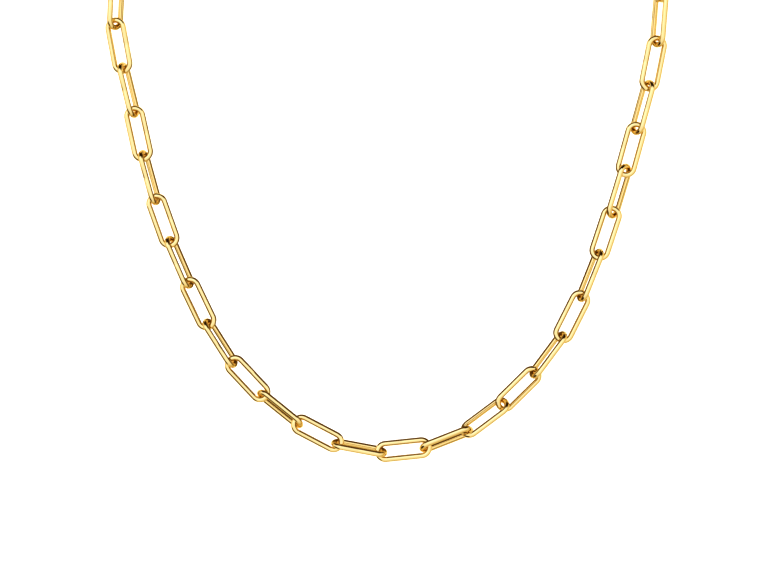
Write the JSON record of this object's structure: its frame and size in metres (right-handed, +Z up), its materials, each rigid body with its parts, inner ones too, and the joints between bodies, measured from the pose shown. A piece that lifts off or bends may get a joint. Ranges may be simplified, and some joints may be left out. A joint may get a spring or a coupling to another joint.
{
  "type": "paperclip chain necklace",
  "caption": "Whole loop of long oval links in polished gold-coloured round wire, with a plain claw clasp at the nape, in its worn shape.",
  "frame": {"origin": "middle of the nape, on the line of the chain, where the back of the neck carries it", "axes": "+X to the right of the picture, the front of the loop faces -Y, +Z up"},
  "size_m": [0.1354, 0.1066, 0.1176],
  "materials": {
    "polished_gold": "gold plate over brass wire, high polish",
    "clasp_gold": "gold plate over cast brass, high polish"
  },
  "bodies": {
    "root": {"link_01": "polished_gold", "link_02": "polished_gold", "link_03": "polished_gold", "link_04": "polished_gold", "link_05": "polished_gold", "link_06": "polished_gold", "link_07": "polished_gold", "link_08": "polished_gold", "link_09": "polished_gold", "link_10": "polished_gold", "link_11": "polished_gold", "link_12": "polished_gold", "link_13": "polished_gold", "link_14": "polished_gold", "link_15": "polished_gold", "link_16": "polished_gold", "link_17": "polished_gold", "link_18": "polished_gold", "link_19": "polished_gold", "link_20": "polished_gold", "link_21": "polished_gold", "link_22": "polished_gold", "link_23": "polished_gold", "link_24": "polished_gold", "link_25": "polished_gold", "link_26": "polished_gold", "link_27": "polished_gold", "link_28": "polished_gold", "link_29": "polished_gold", "link_30": "polished_gold", "link_31": "polished_gold", "link_32": "polished_gold", "link_33": "polished_gold", "link_34": "polished_gold", "link_35": "polished_gold", "link_36": "polished_gold", "link_37": "polished_gold", "link_38": "polished_gold", "link_39": "polished_gold", "link_40": "polished_gold", "link_41": "polished_gold", "clasp": "clasp_gold"}
  },
  "joints": []
}
